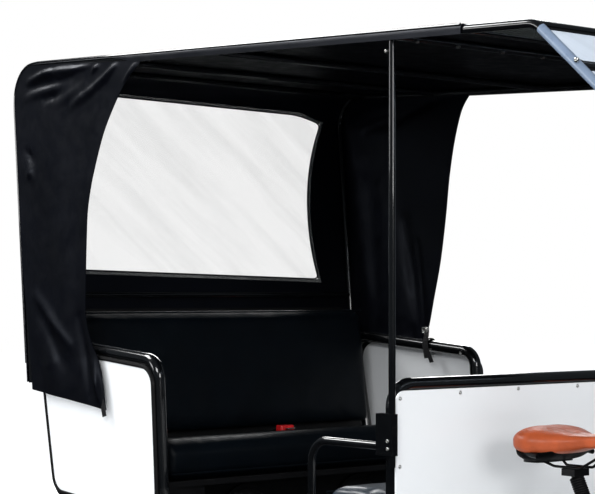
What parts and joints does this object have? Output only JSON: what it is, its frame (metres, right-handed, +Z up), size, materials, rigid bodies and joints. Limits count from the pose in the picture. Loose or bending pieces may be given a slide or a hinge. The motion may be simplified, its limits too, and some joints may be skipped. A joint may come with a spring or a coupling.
{
  "type": "cycle rickshaw",
  "caption": "Three-wheeled cycle rickshaw with two facing benches under a soft roof, a white partition and two saddles side by side for its riders",
  "frame": {"origin": "on the ground, midway along and across the vehicle", "axes": "+X forward, +Y to the vehicle's left, +Z up"},
  "size_m": [3.1911, 1.4266, 1.9876],
  "materials": {
    "black_gloss": "gloss",
    "black_satin": "satin",
    "cast_grey": "satin",
    "floor_board": "matte",
    "white_sheet": "gloss",
    "black_board": "satin",
    "dark_vinyl": "gloss",
    "speaker_ring": "satin",
    "red_plastic": "gloss",
    "canopy_vinyl": "satin",
    "milky_clear": "gloss",
    "clear_blue": "gloss",
    "black_rubber": "matte",
    "tan_leather": "satin",
    "chain_steel": "satin",
    "red_lens": "gloss",
    "lamp_silver": "gloss",
    "tyre_rubber": "matte",
    "wheel_silver": "satin",
    "alloy": "satin",
    "black_plastic": "matte"
  },
  "bodies": {
    "vehicle": {"chassis_frame": "black_gloss", "outer_rails": "black_gloss", "cross_members": "black_gloss", "axle_bearings": "cast_grey", "floor_panel": "floor_board", "side_frame_right": "black_gloss", "side_frame_left": "black_gloss", "side_panels": "white_sheet", "rear_frame": "black_gloss", "rear_panel": "white_sheet", "back_board": "black_board", "rear_bench_box": "black_board", "rear_seat_cushion": "dark_vinyl", "rear_backrest": "dark_vinyl", "bench_speakers": "speaker_ring", "seat_belt_buckle": "red_plastic", "partition_frame": "black_gloss", "partition_panel": "white_sheet", "front_bench_box": "black_board", "front_bench_cushion": "dark_vinyl", "armrest_loops": "black_gloss", "roof_rails": "black_gloss", "roof_bars": "black_gloss", "roof_posts": "black_gloss", "canopy_roof": "canopy_vinyl", "canopy_rear_wall": "canopy_vinyl", "rear_window": "milky_clear", "side_curtains": "canopy_vinyl", "clear_panes": "clear_blue", "visor_gasket": "black_rubber", "rider_frame": "black_gloss", "seat_posts": "black_satin", "saddles": "tan_leather", "saddle_rails": "black_satin", "front_yoke": "black_gloss", "fixed_handlebar": "black_satin", "chains": "chain_steel", "rear_mudguards": "black_gloss", "tail_lamps": "red_lens", "headlamp": "lamp_silver"},
    "fork": {"front_fork": "black_gloss", "front_mudguard": "black_gloss"},
    "front_wheel": {"front_wheel": "wheel_silver", "front_tyre": "tyre_rubber"},
    "rear_wheel_right": {"rear_wheel_right": "wheel_silver", "rear_tyre_right": "tyre_rubber", "rear_shaft_right": "alloy"},
    "rear_wheel_left": {"rear_wheel_left": "wheel_silver", "rear_tyre_left": "tyre_rubber", "rear_shaft_left": "alloy"},
    "right_crank": {"crankset_right": "alloy"},
    "left_crank": {"crankset_left": "alloy"},
    "right_outer_pedal": {"pedal_right_outer": "black_plastic"},
    "right_inner_pedal": {"pedal_right_inner": "black_plastic"},
    "left_inner_pedal": {"pedal_left_inner": "black_plastic"},
    "left_outer_pedal": {"pedal_left_outer": "black_plastic"},
    "steering_column": {"steering_handlebar": "black_satin"},
    "steering_link": {"drag_link": "black_satin"}
  },
  "joints": [
    {"name": "steering", "type": "hinge", "parent": "vehicle", "child": "fork", "pos_m": [1.06254, 0, 0.8], "axis": [-0.342, 0, 0.9397], "range_deg": [-30, 30]},
    {"name": "handlebar_turn", "type": "hinge", "parent": "vehicle", "child": "steering_column", "pos_m": [1.06254, -0.29, 0.8], "axis": [-0.342, 0, 0.9397], "range_deg": [-31, 31]},
    {"name": "link_turn", "type": "hinge", "parent": "fork", "child": "steering_link", "pos_m": [1.17294, 0, 0.73057], "axis": [-0.342, 0, 0.9397], "range_deg": [-31, 31]},
    {"name": "front_wheel_spin", "type": "hinge", "parent": "fork", "child": "front_wheel", "pos_m": [1.2907, 0, 0.305], "axis": [0, 1, 0], "continuous": true},
    {"name": "rear_right_spin", "type": "hinge", "parent": "vehicle", "child": "rear_wheel_right", "pos_m": [-1.22, -0.56, 0.305], "axis": [0, 1, 0], "continuous": true},
    {"name": "rear_left_spin", "type": "hinge", "parent": "vehicle", "child": "rear_wheel_left", "pos_m": [-1.22, 0.56, 0.305], "axis": [0, 1, 0], "continuous": true},
    {"name": "right_crank_spin", "type": "hinge", "parent": "vehicle", "child": "right_crank", "pos_m": [0.693, -0.29, 0.3], "axis": [0, 1, 0], "continuous": true},
    {"name": "left_crank_spin", "type": "hinge", "parent": "vehicle", "child": "left_crank", "pos_m": [0.693, 0.29, 0.3], "axis": [0, 1, 0], "continuous": true},
    {"name": "right_outer_pedal_spin", "type": "hinge", "parent": "right_crank", "child": "right_outer_pedal", "pos_m": [0.858, -0.415, 0.3], "axis": [0, 1, 0], "continuous": true},
    {"name": "right_inner_pedal_spin", "type": "hinge", "parent": "right_crank", "child": "right_inner_pedal", "pos_m": [0.528, -0.164, 0.3], "axis": [0, 1, 0], "continuous": true},
    {"name": "left_inner_pedal_spin", "type": "hinge", "parent": "left_crank", "child": "left_inner_pedal", "pos_m": [0.528, 0.164, 0.3], "axis": [0, 1, 0], "continuous": true},
    {"name": "left_outer_pedal_spin", "type": "hinge", "parent": "left_crank", "child": "left_outer_pedal", "pos_m": [0.858, 0.415, 0.3], "axis": [0, 1, 0], "continuous": true}
  ],
  "couplings": [
    {"joint": "handlebar_turn", "follows": "steering", "ratio": 1},
    {"joint": "link_turn", "follows": "steering", "ratio": -1},
    {"joint": "right_outer_pedal_spin", "follows": "right_crank_spin", "ratio": -1},
    {"joint": "right_inner_pedal_spin", "follows": "right_crank_spin", "ratio": -1},
    {"joint": "left_inner_pedal_spin", "follows": "left_crank_spin", "ratio": -1},
    {"joint": "left_outer_pedal_spin", "follows": "left_crank_spin", "ratio": -1}
  ]
}
